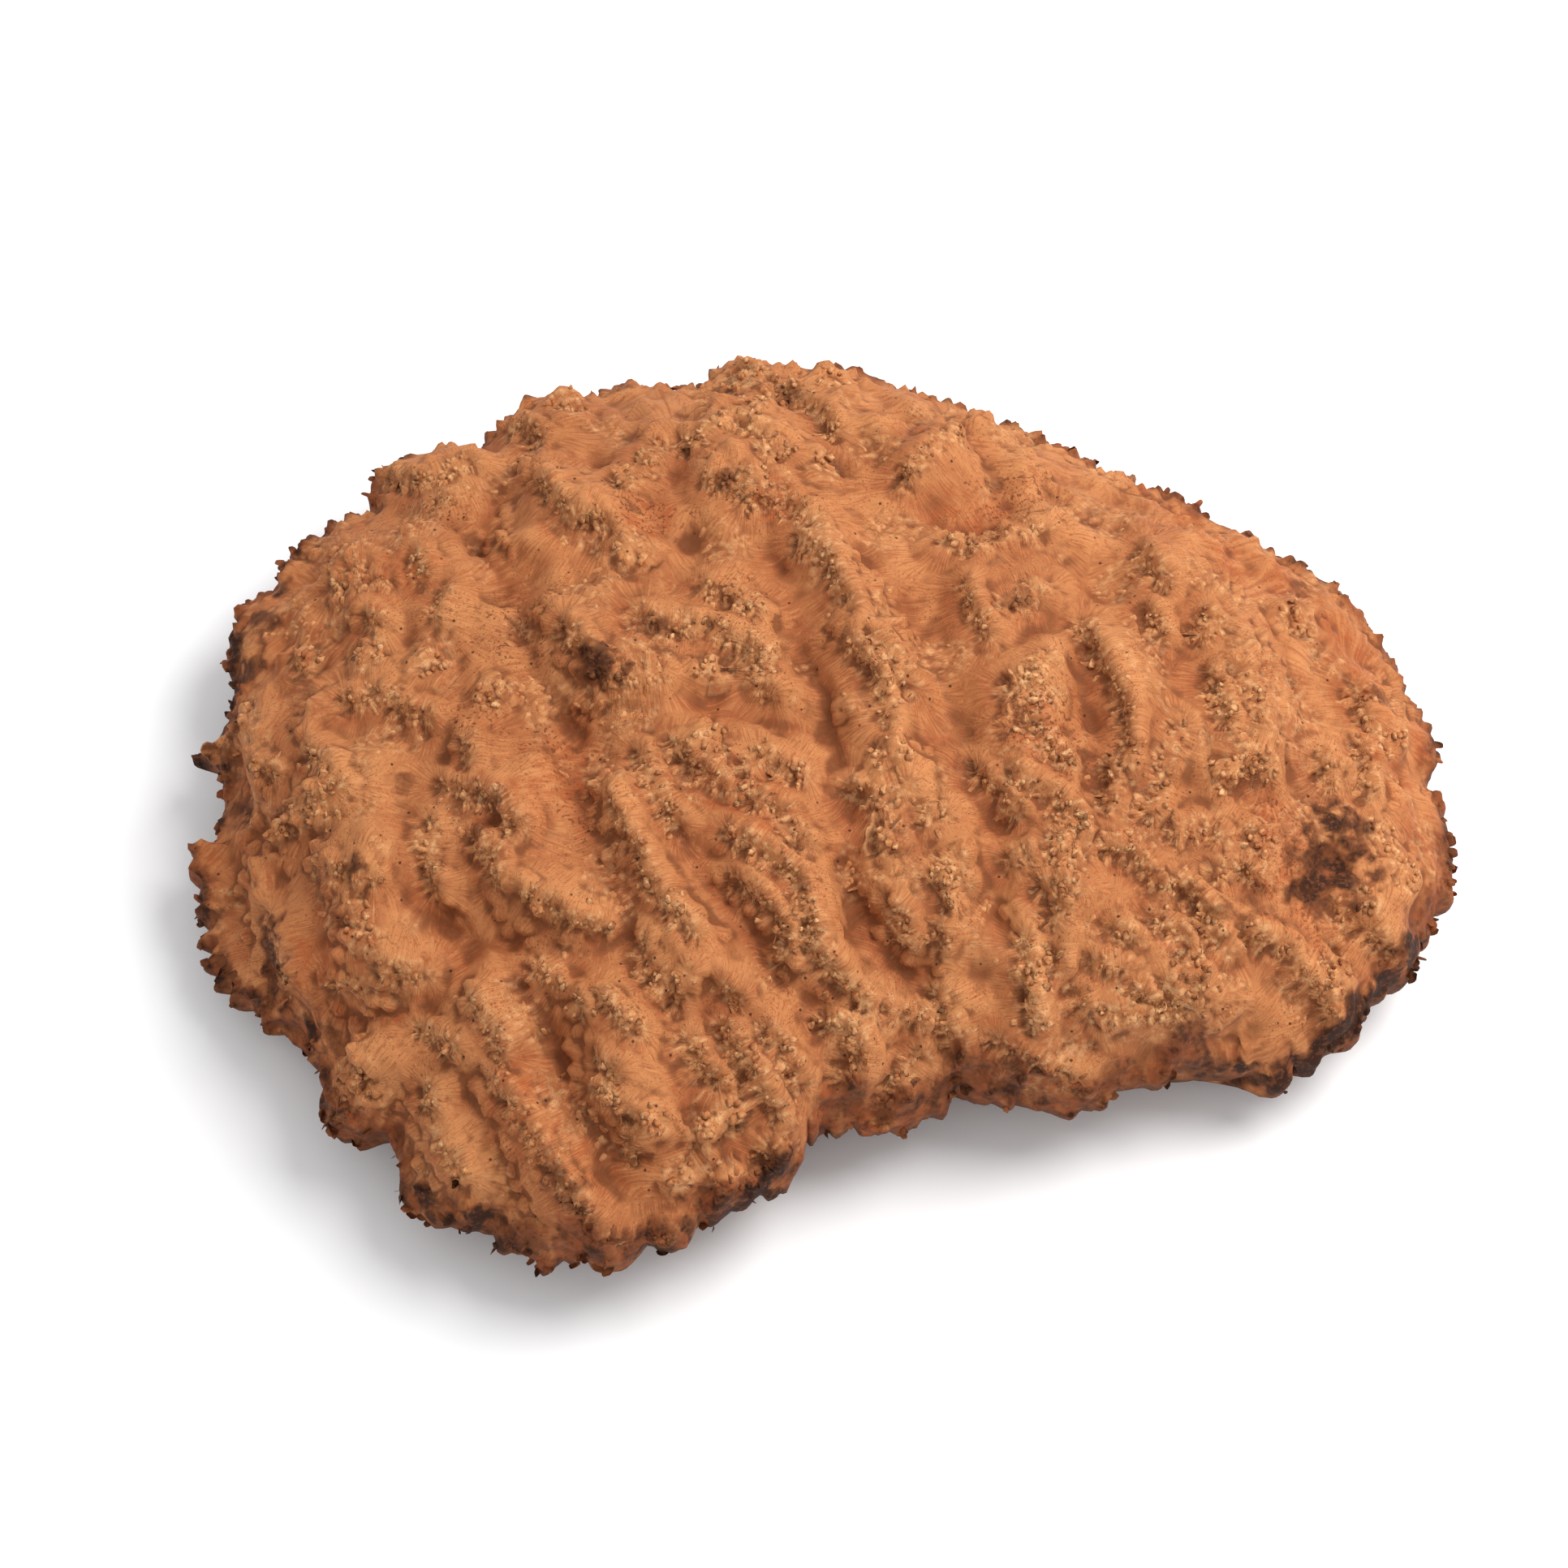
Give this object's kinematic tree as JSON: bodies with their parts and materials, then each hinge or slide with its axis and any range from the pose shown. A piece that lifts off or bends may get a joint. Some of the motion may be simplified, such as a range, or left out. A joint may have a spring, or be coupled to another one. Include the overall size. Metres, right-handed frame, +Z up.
{
  "type": "mallee burl cap",
  "caption": "Domed cap sawn from a eucalypt burl: swollen lobes whose ridges carry rows of bud pips, smooth valleys between them, a jagged overhanging rim and a flat sawn underside",
  "frame": {"origin": "on the flat sawn underside, below the middle of the cap's face", "axes": "+Z up out of the sawn face, +X along the cap's longest side to the viewer's right, +Y away from the viewer"},
  "size_m": [0.3952, 0.3242, 0.095],
  "materials": {
    "burl_wood": "raw burl surface with the bark off, dry, unsanded and unfinished"
  },
  "bodies": {
    "root": {"burl_cap": "burl_wood"}
  },
  "joints": []
}
